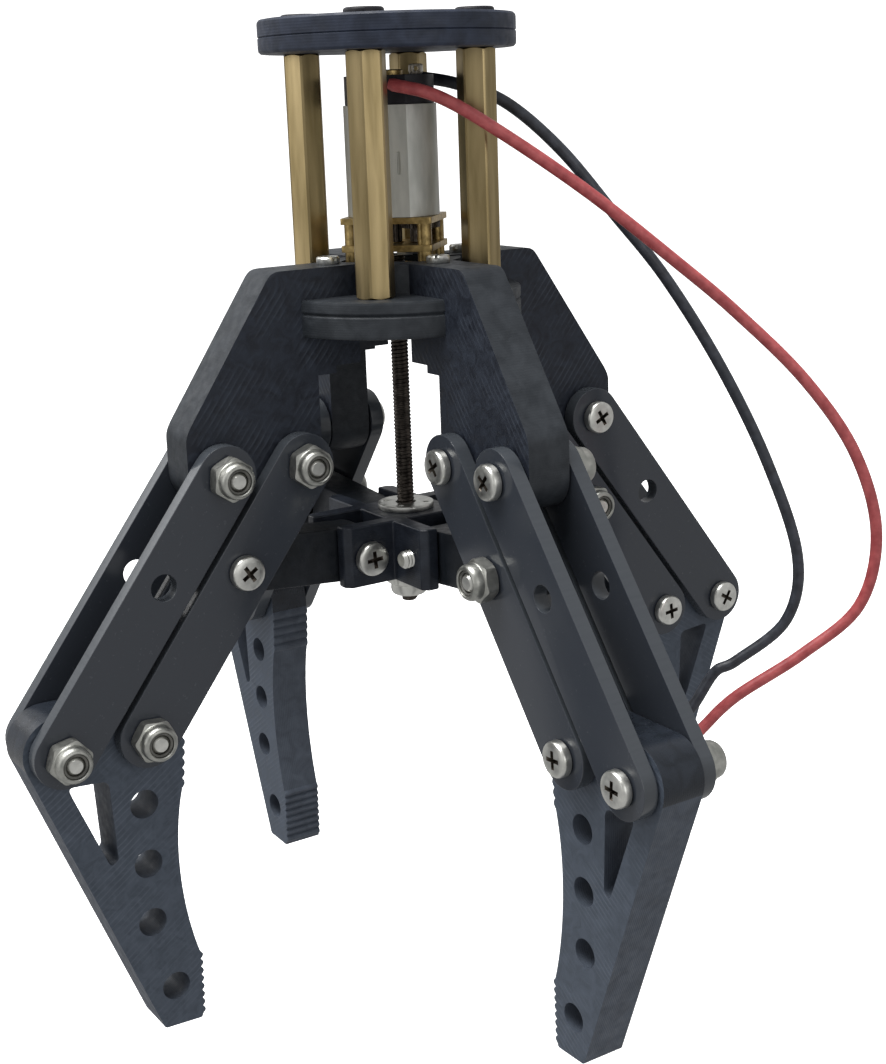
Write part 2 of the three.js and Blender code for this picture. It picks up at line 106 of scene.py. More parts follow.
PLATE_LOW, PLATE_HIGH = box_mm("top_plate")
SPIDER_LOW, SPIDER_HIGH = box_mm("spider")
SCREW_LOW, SCREW_HIGH = box_mm("lead_screw")
GEARBOX_LOW, GEARBOX_HIGH = box_mm("gearbox")
STANDOFF_LOW, STANDOFF_HIGH = box_mm("standoff_1")
STANDOFF_CIRCLE = middle("standoff_1").x
LINK_PLATE = tuple(corner.y for corner in box_mm("right_outer_link_a"))
CLAW_HALF = box_mm("right_claw")[1].y
DRIVE_HALF = box_mm("right_drive_link")[1].y
RING_TOP = STANDOFF_LOW.z
WING_TOP = box_mm("frame")[1].z
SPIDER_TOP = SPIDER_HIGH.z - 0.8  # the threaded insert stands this far above the spider

# ---- sizes that the frame doesn't state, in millimetres -----------------------------------------

WING_HALF = 3.0
RING_THICKNESS = 4.7
LINK_END_RADIUS = 4.0
BOLT_RADIUS = 1.2
HEAD_RADIUS = 2.25
HEAD_HEIGHT = 1.3
NUT_FLATS = 5.0
NUT_HEX_HEIGHT = 1.8
NUT_COLLAR_RADIUS = 2.3
NUT_COLLAR_HEIGHT = 1.5
STANDOFF_FLATS = 4.5
STANDOFF_TURNS = [0, 28.6, 15.6, 49.6]  # degrees, as tightened
SPIDER_HALF = 5.4
WIRE_RADIUS = 0.8
LINK_HOLE_RADIUS = 1.7
CLAW_HOLE_RADIUS = 1.9
GAP = 0.2


# ---- mesh tools ---------------------------------------------------------------------------------

def arc(x, z, radius, start, end, steps=16):
    """Points on an arc, angles in degrees; end below start runs clockwise."""
    angles = [math.radians(start + (end - start) * i / steps) for i in range(steps + 1)]
    return [(x + radius * math.cos(a), z + radius * math.sin(a)) for a in angles]


def circle(x, z, radius, steps=32):
    return arc(x, z, radius, 0, 360, steps)[:-1]


def bezier(p0, p1, p2, p3, steps=16):
    p0, p1, p2, p3 = (Vector(p) for p in (p0, p1, p2, p3))
    points = []
    for i in range(steps + 1):
        t = i / steps
        u = 1 - t
        points.append(tuple(p0 * u**3 + p1 * 3 * u * u * t + p2 * 3 * u * t * t + p3 * t**3))
    return points


def rounded_corner(before, here, after, radius, steps=5):
    """A small curve of about that radius, in place of the corner here."""
    here = Vector(here)
    back, ahead = Vector(before) - here, Vector(after) - here
    reach = min(radius, back.length * 0.45, ahead.length * 0.45)
    a, b = here + back.normalized() * reach, here + ahead.normalized() * reach
    points = []
    for k in range(steps + 1):
        t = k / steps
        points.append(tuple(a * (1 - t) ** 2 + here * 2 * t * (1 - t) + b * t * t))
    return points


def rounded_outline(points, radius):
    result = []
    for i, point in enumerate(points):
        result += rounded_corner(points[i - 1], point, points[(i + 1) % len(points)], radius)
    return result


def to_mesh(bm, name, materials, sharp=28):
    """Turns a millimetre bmesh into a mesh in metres, shaded smooth with its sharp edges kept."""
    bmesh.ops.recalc_face_normals(bm, faces=bm.faces)
    bmesh.ops.scale(bm, vec=(MM, MM, MM), verts=bm.verts)
    mesh = bpy.data.meshes.new(name)
    bm.to_mesh(mesh)
    bm.free()
    for mat in materials:
        mesh.materials.append(mat)
    mesh.shade_smooth()
    mesh.set_sharp_from_angle(angle=math.radians(sharp))
    return mesh


def slab(outline, holes, span, bevel=0.25, segments=2, upright=False):
    """A flat piece: an outline with holes, given thickness along y, or along z when upright."""
    bm = bmesh.new()

    def corner(point, level):
        x, z = point
        return bm.verts.new((x, z, level) if upright else (x, level, z))

    rims = {span[0]: [], span[1]: []}
    for loop in [outline, *holes]:
        rows = {level: [corner(point, level) for point in loop] for level in span}
        low, high = rows[span[0]], rows[span[1]]
        for i in range(len(loop)):
            bm.faces.new((low[i - 1], low[i], high[i], high[i - 1]))
        for level, row in rows.items():
            rims[level] += [bm.edges.get((row[i - 1], row[i])) for i in range(len(loop))]
    for edges in rims.values():
        bmesh.ops.triangle_fill(bm, edges=edges, use_beauty=True)
    bmesh.ops.recalc_face_normals(bm, faces=bm.faces)
    if bevel:
        sharp = [e for e in bm.edges if e.is_manifold and e.calc_face_angle() > math.radians(28)]
        bmesh.ops.bevel(bm, geom=sharp, offset=bevel, segments=segments, profile=0.5,
                        affect="EDGES", clamp_overlap=True)
    return bm


def ringed(rings, segments=48):
    """A turned shape on z. Each ring is (radius, z) or a function of the angle that gives them. Rings
    that start and end on the axis are closed there, and others close on themselves."""
    bm = bmesh.new()
    rows = []
    for ring in rings:
        at = ring if callable(ring) else (lambda angle, fixed=ring: fixed)
        if not callable(ring) and ring[0] == 0:
            rows.append([bm.verts.new((0, 0, ring[1]))])
            continue
        row = []
        for i in range(segments):
            angle = TURN * i / segments
            radius, z = at(angle)
            row.append(bm.verts.new((radius * math.cos(angle), radius * math.sin(angle), z)))
        rows.append(row)
    pairs = list(zip(rows, rows[1:]))
    if len(rows[0]) > 1:
        pairs.append((rows[-1], rows[0]))
    for low, high in pairs:
        for i in range(segments):
            j = i + 1
            quad = [low[i % len(low)], low[j % len(low)], high[j % len(high)], high[i % len(high)]]
            bm.faces.new(list(dict.fromkeys(quad)))
    return bm


def along_y(bm, toward=1):
    """Turns a shape made on z so that its +z end points along +y, or -y when toward is -1."""
    bmesh.ops.rotate(bm, verts=bm.verts, matrix=Matrix.Rotation(-toward * math.pi / 2, 3, "X"))
    return bm


def joined(*parts):
    """One bmesh holding several, which must not touch."""
    whole = bmesh.new()
    for part in parts:
        scratch = bpy.data.meshes.new("scratch")
        part.to_mesh(scratch)
        part.free()
        whole.from_mesh(scratch)
        bpy.data.meshes.remove(scratch)
    return whole


def carved(blank, tools, operation="DIFFERENCE"):
    """The blank with every tool cut away from it, or joined to it, as a new bmesh."""
    def scratch(bm):
        bmesh.ops.recalc_face_normals(bm, faces=bm.faces)
        mesh = bpy.data.meshes.new("scratch")
        bm.to_mesh(mesh)
        bm.free()
        obj = bpy.data.objects.new("scratch", mesh)
        bpy.context.scene.collection.objects.link(obj)
        return obj

    target = scratch(blank)
    cutters = [scratch(tool) for tool in tools]
    for cutter in cutters:
        step = target.modifiers.new("carve", "BOOLEAN")
        step.operation = operation
        step.solver = "EXACT"
        step.object = cutter
    evaluated = target.evaluated_get(bpy.context.evaluated_depsgraph_get())
    result = bmesh.new()
    result.from_mesh(evaluated.to_mesh())
    evaluated.to_mesh_clear()
    for obj in [target, *cutters]:
        mesh = obj.data
        bpy.data.objects.remove(obj)
        bpy.data.meshes.remove(mesh)
    bmesh.ops.remove_doubles(result, verts=result.verts, dist=1e-4)
    return result


def moved(bm, x=0.0, y=0.0, z=0.0, turn=0.0):
    """The shape turned about z by so many degrees, then moved."""
    bmesh.ops.rotate(bm, verts=bm.verts, matrix=Matrix.Rotation(math.radians(turn), 3, "Z"))
    bmesh.ops.translate(bm, verts=bm.verts, vec=(x, y, z))
    return bm


def bar(radius, span, x=0.0, y=0.0, segments=32):
    low, high = span
    return moved(ringed([(0, low), (radius, low), (radius, high), (0, high)], segments), x, y)


def hex_ring(flats, limit, inner, level, slope):
    """A ring for ringed(): a hexagon with its corners turned down to a radius of limit. It lies on a cone
    that leaves the level by slope, starting at a radius of inner."""
    def at(angle):
        radius = min(flats / 2 / math.cos((angle + TURN / 12) % (TURN / 6) - TURN / 12), limit)
        return radius, level + (radius - inner) * slope
    return at


def brick(x, y, z):
    """A plain block between two x, two y and two z, used only as a cutting tool."""
    bm = bmesh.new()
    bmesh.ops.create_cube(bm, size=1)
    bmesh.ops.scale(bm, verts=bm.verts, vec=(x[1] - x[0], y[1] - y[0], z[1] - z[0]))
    bmesh.ops.translate(bm, verts=bm.verts, vec=[sum(ends) / 2 for ends in (x, y, z)])
    return bm


def place(name, mesh, body, matrix=None, stands_for=()):
    """Puts a mesh in the scene, riding on a CAD body."""
    obj = bpy.data.objects.new(name, mesh)
    bpy.context.scene.collection.objects.link(obj)
    obj.matrix_world = matrix or Matrix.Identity(4)
    weighted = obj.modifiers.new("weighted", "WEIGHTED_NORMAL")
    weighted.keep_sharp = True
    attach(obj, body)
    if stands_for:
        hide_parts(*stands_for)
    return obj


def arm_matrix(side, at=None, slope=0.0):
    """From an arm's own plane to the row frame, with the origin moved to a pivot and x turned upwards."""
    matrix = Matrix.Rotation(math.radians(AZIMUTHS[side]), 4, "Z")
    if at is not None:
        matrix = matrix @ Matrix.Translation((at.x * MM, 0, at.y * MM)) @ Matrix.Rotation(-slope, 4, "Y")
    return matrix


# ---- materials ----------------------------------------------------------------------------------

def srgb(code):
    channels = [int(code[i:i + 2], 16) / 255 for i in (0, 2, 4)]
    return [c / 12.92 if c <= 0.04045 else ((c + 0.055) / 1.055) ** 2.4 for c in channels] + [1.0]


class Nodes:
    """Short calls for making and joining the shader nodes of one material."""

    def __init__(self, name):
        self.material = bpy.data.materials.new(name)
        self.material.use_nodes = True
        self.tree = self.material.node_tree
        self.shader = self.tree.nodes["Principled BSDF"]
        self.coordinates = self.tree.nodes.new("ShaderNodeTexCoord").outputs["Object"]

    def put(self, value, socket):
        if isinstance(value, bpy.types.NodeSocket):
            self.tree.links.new(value, socket)
        else:
            socket.default_value = value

    def math(self, operation, a, b=0.0):
        node = self.tree.nodes.new("ShaderNodeMath")
        node.operation = operation
        self.put(a, node.inputs[0])
        self.put(b, node.inputs[1])
        return node.outputs[0]

    def stretched(self, scale):
        node = self.tree.nodes.new("ShaderNodeMapping")
        node.inputs["Scale"].default_value = scale
        self.put(self.coordinates, node.inputs["Vector"])
        return node.outputs[0]

    def noise(self, size_mm, detail=3.0, stretch=(1, 1, 1), distortion=0.0):
        node = self.tree.nodes.new("ShaderNodeTexNoise")
        self.put(self.stretched(stretch), node.inputs["Vector"])
        node.inputs["Scale"].default_value = 1 / (size_mm * MM)
        node.inputs["Detail"].default_value = detail
        node.inputs["Distortion"].default_value = distortion
        return node.outputs["Fac"]

    def ranged(self, value, low, high, to_low, to_high):
        node = self.tree.nodes.new("ShaderNodeMapRange")
        for name, number in zip(("Value", "From Min", "From Max", "To Min", "To Max"),
                                (value, low, high, to_low, to_high)):
            self.put(number, node.inputs[name])
        return node.outputs[0]

    def mixed(self, factor, a, b):
        node = self.tree.nodes.new("ShaderNodeMix")
        node.data_type = "RGBA"
        self.put(factor, node.inputs["Factor"])
        self.put(a, node.inputs[6])
        self.put(b, node.inputs[7])
        return node.outputs[2]

    def lines(self, direction, pitch_mm, wander=0.3, wander_size=3.0):
        """Even ridges across a direction, 0 to 1, wandering a little as a tool or a nozzle does."""
        node = self.tree.nodes.new("ShaderNodeVectorMath")
        node.operation = "DOT_PRODUCT"
        self.put(self.coordinates, node.inputs[0])
        node.inputs[1].default_value = Vector(direction).normalized() * (TURN / (pitch_mm * MM))
        drift = self.math("MULTIPLY", self.noise(wander_size, 2.0), wander * TURN * 2)
        phase = self.math("ADD", node.outputs["Value"], drift)
        return self.ranged(self.math("SINE", phase), -1.0, 1.0, 0.0, 1.0)

    def bump(self, heights):
        """Relief from (0 to 1 value, depth in mm) pairs."""
        total = 0.0
        for value, depth in heights:
            total = self.math("ADD", self.math("MULTIPLY", value, depth * MM), total)
        node = self.tree.nodes.new("ShaderNodeBump")
        node.inputs["Distance"].default_value = 1.0
        self.put(total, node.inputs["Height"])
        self.put(node.outputs["Normal"], self.shader.inputs["Normal"])


def printed(name, dark, light, ridges, roughness=(0.42, 0.62)):
    """Printed plastic. ridges are (direction, pitch, depth) of the nozzle's tracks, in millimetres."""
    n = Nodes(name)
    patches = n.noise(2.4, 4.0, distortion=0.6)
    colour = n.mixed(n.ranged(patches, 0.35, 0.68, 0.0, 1.0), srgb(dark), srgb(light))
    heights = [(n.noise(0.16, 3.0), 0.014), (patches, 0.03)]
    for direction, pitch, depth in ridges:
        track = n.lines(direction, pitch)
        colour = n.mixed(n.ranged(track, 0.82, 1.0, 0.0, 0.15), colour, srgb(light))
        heights.append((track, depth))
    n.put(colour, n.shader.inputs["Base Color"])
    n.put(n.ranged(n.noise(1.1), 0.3, 0.7, *roughness), n.shader.inputs["Roughness"])
    n.shader.inputs["Specular IOR Level"].default_value = 0.32
    n.bump(heights)
    return n.material


def strokes(name, dark, light, streak, angle):
    """The top skin of a print: broken diagonal strokes in the arm's plane, at an angle in degrees."""
    n = Nodes(name)
    across, up = -math.sin(math.radians(angle)), math.cos(math.radians(angle))
    direction = (across, across, up)
    track = n.lines(direction, 0.62, 0.3, 5.0)
    broken = n.ranged(n.noise(5.0, 3.0), 0.4, 0.66, 0.0, 1.0)
    patches = n.noise(1.7, 4.0, distortion=1.2)
    colour = n.mixed(n.ranged(patches, 0.35, 0.7, 0.0, 1.0), srgb(dark), srgb(light))
    bright = n.math("MULTIPLY", n.ranged(track, 0.7, 1.0, 0.0, 0.4), broken)
    colour = n.mixed(bright, colour, srgb(streak))
    n.put(colour, n.shader.inputs["Base Color"])
    n.put(n.ranged(patches, 0.3, 0.7, 0.4, 0.62), n.shader.inputs["Roughness"])
    n.shader.inputs["Specular IOR Level"].default_value = 0.3
    n.bump([(n.math("MULTIPLY", track, broken), 0.02), (n.noise(0.16, 3.0), 0.01), (patches, 0.04)])
    return n.material


def acrylic(name):
    """Black laser-cut sheet: a hard gloss, with dust and faint hairlines."""
    n = Nodes(name)
    dust = n.noise(0.5, 6.0)
    smears = n.noise(9.0, 4.0, (0.4, 1, 1), 0.5)
    speck = n.ranged(dust, 0.66, 0.72, 0.0, 0.3)
    n.put(n.mixed(speck, srgb("363a41"), srgb("565a61")), n.shader.inputs["Base Color"])
    hairline = n.ranged(n.noise(0.3, 3.0, (0.06, 1, 1)), 0.6, 0.7, 0.0, 0.03)
    rough = n.math("ADD", n.ranged(smears, 0.35, 0.7, 0.12, 0.22), hairline)
    n.put(rough, n.shader.inputs["Roughness"])
    n.bump([(smears, 0.02), (n.noise(0.4), 0.0006)])
    return n.material


def cut_edge(name):
    """The edge of the laser-cut sheet: melted smooth, with faint flutes through its thickness."""
    n = Nodes(name)
    flutes = n.noise(0.45, 2.0, (1, 0.08, 1))
    n.put(n.mixed(flutes, srgb("3d4146"), srgb("44484d")), n.shader.inputs["Base Color"])
    n.put(n.ranged(flutes, 0.3, 0.7, 0.18, 0.26), n.shader.inputs["Roughness"])
    n.bump([(flutes, 0.0008)])
    return n.material


def metal(name, dark, light, roughness, patch=1.5, stretch=(1, 1, 1), depth=0.006):
    """Bare or plated metal, with tarnish in patches and a fine drawn or cast grain."""
    n = Nodes(name)
    patches = n.noise(patch, 5.0, stretch, 0.3)
    colour = n.mixed(n.ranged(patches, 0.32, 0.7, 0.0, 1.0), srgb(dark), srgb(light))
    n.put(colour, n.shader.inputs["Base Color"])
    n.shader.inputs["Metallic"].default_value = 1.0
    grain = n.noise(patch * 0.4, 4.0, stretch)
    n.put(n.ranged(grain, 0.3, 0.7, *roughness), n.shader.inputs["Roughness"])
    n.bump([(n.noise(0.2, 2.0, stretch), depth * 0.4), (patches, depth)])
    return n.material


def sleeve(name, dark, light, roughness=(0.34, 0.5)):
    """Soft wire insulation: faint creases and handling marks."""
    n = Nodes(name)
    marks = n.noise(1.3, 4.0)
    colour = n.mixed(n.ranged(marks, 0.35, 0.7, 0.0, 1.0), srgb(dark), srgb(light))
    n.put(colour, n.shader.inputs["Base Color"])
    n.put(n.ranged(n.noise(0.5), 0.3, 0.7, *roughness), n.shader.inputs["Roughness"])
    n.bump([(marks, 0.03), (n.noise(0.2), 0.008)])
    return n.material


FRAME_FACE = strokes("frame_face", "1c2029", "2a303b", "4b525d", 52)
FRAME_EDGE = printed("frame_edge", "24282d", "34383d", [((0, 0, 1), 0.3, 0.005)])
PLATE_PRINT = printed("plate_print", "202633", "2e3545", [((0, 0, 1), 0.34, 0.008)])
CLAW_FACE = strokes("claw_face", "414954", "4f5763", "666e7b", -35)
CLAW_EDGE = printed("claw_edge", "3f454f", "4d545f", [((0, 1, 0), 0.32, 0.012)])
# The claw's barrel: a darker, glossier copy of the claw's edge print, painted shade where it sits between
# the link plates.
CLAW_BARREL_SHADE = printed("claw_barrel_painted_shade", "1d2127", "292e36", [((0, 1, 0), 0.32, 0.006)], (0.24, 0.34))
SPIDER_PRINT = printed("spider_print", "1a1e26", "282d36", [((0, 0, 1), 0.3, 0.008)], (0.3, 0.45))
DRIVE_PRINT = printed("drive_print", "13171c", "1d2127", [((0, 1, 0), 0.3, 0.008)], (0.32, 0.5))
ACRYLIC_FACE = acrylic("acrylic_face")
ACRYLIC_EDGE = cut_edge("acrylic_edge")
BRASS = metal("worn_brass", "8a7a56", "bda97f", (0.28, 0.4), 2.2, (1, 1, 0.1), 0.004)
GEAR_BRASS = metal("gear_brass", "85724a", "b8a06c", (0.3, 0.44), 0.8, depth=0.003)
PLATED = metal("plated_steel", "c4c4bf", "e2e2dc", (0.28, 0.4), 1.2, depth=0.0015)
NUT_STEEL = metal("nut_steel", "989994", "bcbcb6", (0.34, 0.46), 1.2, depth=0.002)
# Dark brownish steel in the bolts' cross recesses: painted shade deep in the recess.
RECESS_SHADE = metal("recess_painted_shade", "3e3831", "6e675f", (0.45, 0.6), 0.5)
CAN = metal("motor_can", "b4b5af", "cdcdc7", (0.55, 0.68), 1.8, (1, 1, 0.25), 0.003)
# Dark steel for the lead screw and the pinions; on the first wheel it is painted shade under the
# gearbox's top plate.
DARK_STEEL_AND_SHADE = metal("dark_steel_and_painted_shade", "2f2b28", "5a544e", (0.32, 0.5), 0.9, depth=0.003)
NYLON = sleeve("nylon_ring", "4a4a46", "6c6b66", (0.35, 0.5))
CREAM = sleeve("cream_nylon", "c2bfa4", "e4e1cb", (0.3, 0.45))
CAP_PLASTIC = printed("cap_plastic", "131318", "1e1e25", [], (0.38, 0.52))
RED_SLEEVE = sleeve("red_sleeve", "9e4245", "bd5b5c")
BLACK_SLEEVE = sleeve("black_sleeve", "272a31", "3c4049")
TINNED = metal("tinned_copper", "8f8a80", "cfcac0", (0.25, 0.45), 0.4, (1, 1, 0.2))

# ---- fasteners ----------------------------------------------------------------------------------


def threaded(radius, z0, z1, pitch=0.45, depth=0.16):
    """Rings of a thread's crests and roots from z0 to z1."""
    turns = int(abs(z1 - z0) / pitch)
    rings = []
    for i in range(turns):
        base = z0 + (z1 - z0) * i / turns
        rings += [(radius - depth, base), (radius, base + (z1 - z0) / turns * 0.5)]
    return rings


def phillips_bolt(tip, radius=HEAD_RADIUS, rise=HEAD_HEIGHT, shank=BOLT_RADIUS):
    """A pan-head bolt on z: the head stands on z = 0 and the shank hangs to z = -tip."""
    edge = min(0.5, rise * 0.6)
    body = ringed([
        (0, -tip),
        (shank - 0.35, -tip),
        *threaded(shank, -tip + 0.2, -tip + min(4.0, tip * 0.6)),
        (shank - 0.05, -0.3),
        (shank, 0.0),
        (radius - 0.08, 0.0),
        (radius, 0.08),
        (radius, rise - edge),
        (radius - edge * 0.08, rise - edge * 0.6),
        (radius - edge * 0.32, rise - edge * 0.26),
        (radius - edge * 0.8, rise - edge * 0.06),
        (radius * 0.55, rise - 0.01),
        (0, rise),
    ], 48)
    reach, width, depth = radius * 0.58, 0.29, min(0.8, rise * 0.75)
    blades = []
    for turn in (0, 90):
        blade = bmesh.new()
        bmesh.ops.create_cube(blade, size=2)
        for vert in blade.verts:
            deep = vert.co.z < 0
            vert.co.x *= reach * (0.5 if deep else 1.0)
            vert.co.y *= width * (0.7 if deep else 1.0)
            vert.co.z = rise - depth if deep else rise + 0.2
        blades.append(moved(blade, turn=turn))
    bm = carved(body, blades)
    # Faces down in the cross recess take material 1, the painted shade of the recess.
    for face in bm.faces:
        centre = face.calc_center_median()
        sunk = rise - depth - 0.01 < centre.z < rise - 0.06
        face.material_index = 1 if sunk and math.hypot(centre.x, centre.y) < radius * 0.6 else 0
    return bm


def lock_nut(flats=NUT_FLATS, hex_height=NUT_HEX_HEIGHT, wall=NUT_COLLAR_RADIUS,
             collar=NUT_COLLAR_HEIGHT, bore=BOLT_RADIUS + 0.06):
    """A nyloc nut on z, its bearing face on z = 0: hexagon with turned corners, crimped collar, nylon."""
    inner, limit = flats / 2 * 0.97, flats / 2 * 1.12
    slope = math.tan(math.radians(30))
    top = hex_height + collar
    lip = wall - 0.7
    steel = ringed([
        (bore, 0.0), (inner, 0.0), hex_ring(flats, limit, inner, 0.0, slope),
        hex_ring(flats, limit, inner, hex_height, -slope), (inner, hex_height),
        (wall + 0.06, hex_height + 0.02), (wall, hex_height + 0.1), (wall, top - 0.72),
        (wall - 0.07, top - 0.4), (wall - 0.24, top - 0.13), (wall - 0.44, top - 0.01),
        (lip + 0.12, top), (lip + 0.02, top - 0.1), (lip, top - 0.3), (lip, hex_height - 0.1),
        (bore, hex_height - 0.1),
    ], 72)
    ring_outer = lip - 0.02
    ring_top = top - 0.24
    nylon = ringed([
        (bore, hex_height), (ring_outer, hex_height), (ring_outer, ring_top - 0.08),
        (ring_outer - 0.06, ring_top), (bore + 0.1, ring_top), (bore, ring_top - 0.1),
    ], 40)
    for face in nylon.faces:
        face.material_index = 1
    return joined(steel, nylon)


def fasteners():
    """Every pivot bolt with its lock nut, and the spider's short bolts."""
    under = LINK_PLATE[1] + GAP
    nut_top = under + NUT_HEX_HEIGHT + NUT_COLLAR_HEIGHT
    long_bolt = phillips_bolt(under + nut_top - 0.15)
    meshes = {}
    for toward in (1, -1):
        bolt = along_y(moved(long_bolt.copy(), z=under), toward)
        meshes["bolt", toward] = to_mesh(bolt, f"pivot_bolt_{toward}", [PLATED, RECESS_SHADE])
        nut = along_y(moved(lock_nut(), z=under), toward)
        meshes["nut", toward] = to_mesh(nut, f"lock_nut_{toward}", [NUT_STEEL, NYLON])
    long_bolt.free()
    short = along_y(moved(phillips_bolt(2 * SPIDER_HALF + 1.5), z=SPIDER_HALF + GAP), 1)
    meshes["short"] = to_mesh(short, "spider_bolt", [PLATED, RECESS_SHADE])

    places = {
        "frame_outer": (FRAME_OUTER, -1, "base"),
        "frame_inner": (FRAME_INNER, -1, "base"),
        "claw_outer": (CLAW_OUTER, -1, "claw"),
        "claw_inner": (CLAW_INNER, -1, "claw"),
        "drive": (DRIVE_PIN, 1, "inner_link"),
    }
    chance = random.Random(7)
    for side in AZIMUTHS:
        for where, (at, toward, carrier) in places.items():
            body = "base" if carrier == "base" else f"{side}_{carrier}"
            node = f"{side}_bolt_{where}"
            spin = chance.uniform(0, TURN / 4)
            place(node + "_screw", meshes["bolt", toward], body,
                  arm_matrix(side, at, spin), [node])
            place(f"{side}_nut_{where}", meshes["nut", -toward], body,
                  arm_matrix(side, at, spin * 1.7))
        node = f"{side}_bolt_spider"
        place(node + "_screw", meshes["short"], "spider",
              arm_matrix(side, SPIDER_PIN, chance.uniform(0, TURN / 4)), [node])


# ---- pieces of one arm --------------------------------------------------------------------------

def round_bar(length, radius):
    return arc(length, 0, radius, -90, 90, 20) + arc(0, 0, radius, 90, 270, 20)


def split_faces(bm, across=0.6):
    """Material 0 on the broad faces, which look along y, and 1 on the edges."""
    bm.normal_update()
    for face in bm.faces:
        face.material_index = 0 if abs(face.normal.y) > across else 1
    return bm


def links():
    along = LINK.length
    slope = math.atan2(LINK.y, LINK.x)
    drive_hole = (DRIVE_PIN - FRAME_INNER).length
    hole_sizes = {"outer": LINK_HOLE_RADIUS, "inner": BOLT_RADIUS + 0.1}
    for kind, pivot_point in (("outer", FRAME_OUTER), ("inner", FRAME_INNER)):
        for suffix, sign in (("a", 1), ("b", -1)):
            holes = [
                circle(0, 0, BOLT_RADIUS + 0.1),
                circle(along, 0, BOLT_RADIUS + 0.1),
                circle(drive_hole, 0, hole_sizes[kind]),
            ]
            span = sorted((sign * LINK_PLATE[0], sign * LINK_PLATE[1]))
            bm = split_faces(slab(round_bar(along, LINK_END_RADIUS), holes, span, 0.12), 0.9)
            mesh = to_mesh(bm, f"{kind}_link_{suffix}", [ACRYLIC_FACE, ACRYLIC_EDGE])
            for side in AZIMUTHS:
                node = f"{side}_{kind}_link_{suffix}"
                place(node + "_plate", mesh, f"{side}_{kind}_link",
                      arm_matrix(side, pivot_point, slope), [node])


def drive_links():
    """The short printed links; the outer eye is slotted where it hides behind the link plates."""
    radius = 3.6
    along = DRIVE.length
    slot_radius, slot_reach = 2.6, 3.1
    slot = arc(along, 0, slot_radius, -90, 90) + arc(along - slot_reach, 0, slot_radius, 90, 270)
    bm = slab(round_bar(along, radius), [circle(0, 0, BOLT_RADIUS + 0.1), slot],
              (-DRIVE_HALF, DRIVE_HALF), 0.3)
    mesh = to_mesh(bm, "drive_link", [DRIVE_PRINT])
    for side in AZIMUTHS:
        node = f"{side}_drive_link"
        place(node + "_print", mesh, node,
              arm_matrix(side, SPIDER_PIN, math.atan2(DRIVE.y, DRIVE.x)), [node])


def scallops(start, end, count, depth):
    """Shallow round teeth between two points, bulging to the inner side."""
    start, end = Vector(start), Vector(end)
    step = (end - start) / count
    out = Vector((-step.y, step.x)).normalized()
    if out.x > 0:
        out.negate()
    points = []
    for tooth in range(count):
        for k in range(6):
            t = k / 6
            points.append(tuple(start + step * (tooth + t) + out * depth * math.sin(math.pi * t)))
    return points


def claws():
    """The claw, from its outer pivot: barrel, straight back, flat tip, toothed pad and hollow edge."""
    barrel = 4.6
    tip_back, tip_front = Vector((-10.6, -41.6)), Vector((-16.0, -41.8))
    tangent = math.degrees(math.asin(barrel / tip_back.length) + math.atan2(-tip_back.x, -tip_back.y))
    pad_top, hollow_top = (-16.3, -32.2), (-15.6, -8.8)
    outline = arc(0, 0, barrel, 90, -tangent, 24)
    outline += rounded_corner(outline[-1], tip_back, tip_front, 0.4)
    outline += rounded_corner(tip_back, tip_front, pad_top, 0.4)
    outline += scallops(tip_front + Vector((-0.05, 0.5)), pad_top, 8, 0.4)
    outline += bezier(pad_top, (-14.6, -26.5), (-13.4, -17), hollow_top, 24)[:-1]
    outline += scallops(hollow_top, (-16.2, -2), 5, 0.35)
    outline += bezier((-16.2, -2), (-16.2, 2.6), (-14.8, barrel), (-11, barrel), 12)
    window = [(-5.9, -5.3), (-0.6, -4.9), (-1.2, -6.6), (-5.2, -16.8), (-6.3, -16.2)]
    centres = ((-10.3, -9.6), (-10.2, -17.8), (-10.1, -26), (-12.6, -36))
    holes = [circle(x, z, CLAW_HOLE_RADIUS) for x, z in centres]
    eyes = [circle(0, 0, BOLT_RADIUS + 0.1), circle(-PIVOT_SPACING, 0, BOLT_RADIUS + 0.1)]
    openings = [rounded_outline(window, 1.0), *holes, *eyes]
    bm = split_faces(slab(outline, openings, (-CLAW_HALF, CLAW_HALF), 0.22))
    # Edge faces on the barrel take material 2, painted shade between the link plates.
    barrel_end = -1.7
    for face in bm.faces:
        if face.material_index == 1 and face.calc_center_median().z > barrel_end:
            face.material_index = 2
    mesh = to_mesh(bm, "claw", [CLAW_FACE, CLAW_EDGE, CLAW_BARREL_SHADE])
    for side in AZIMUTHS:
        node = f"{side}_claw"
        place(node + "_print", mesh, node, arm_matrix(side, CLAW_OUTER), [node])


# ---- pieces on the axis -------------------------------------------------------------------------

CORNERS = [45, 135, 225, 315]


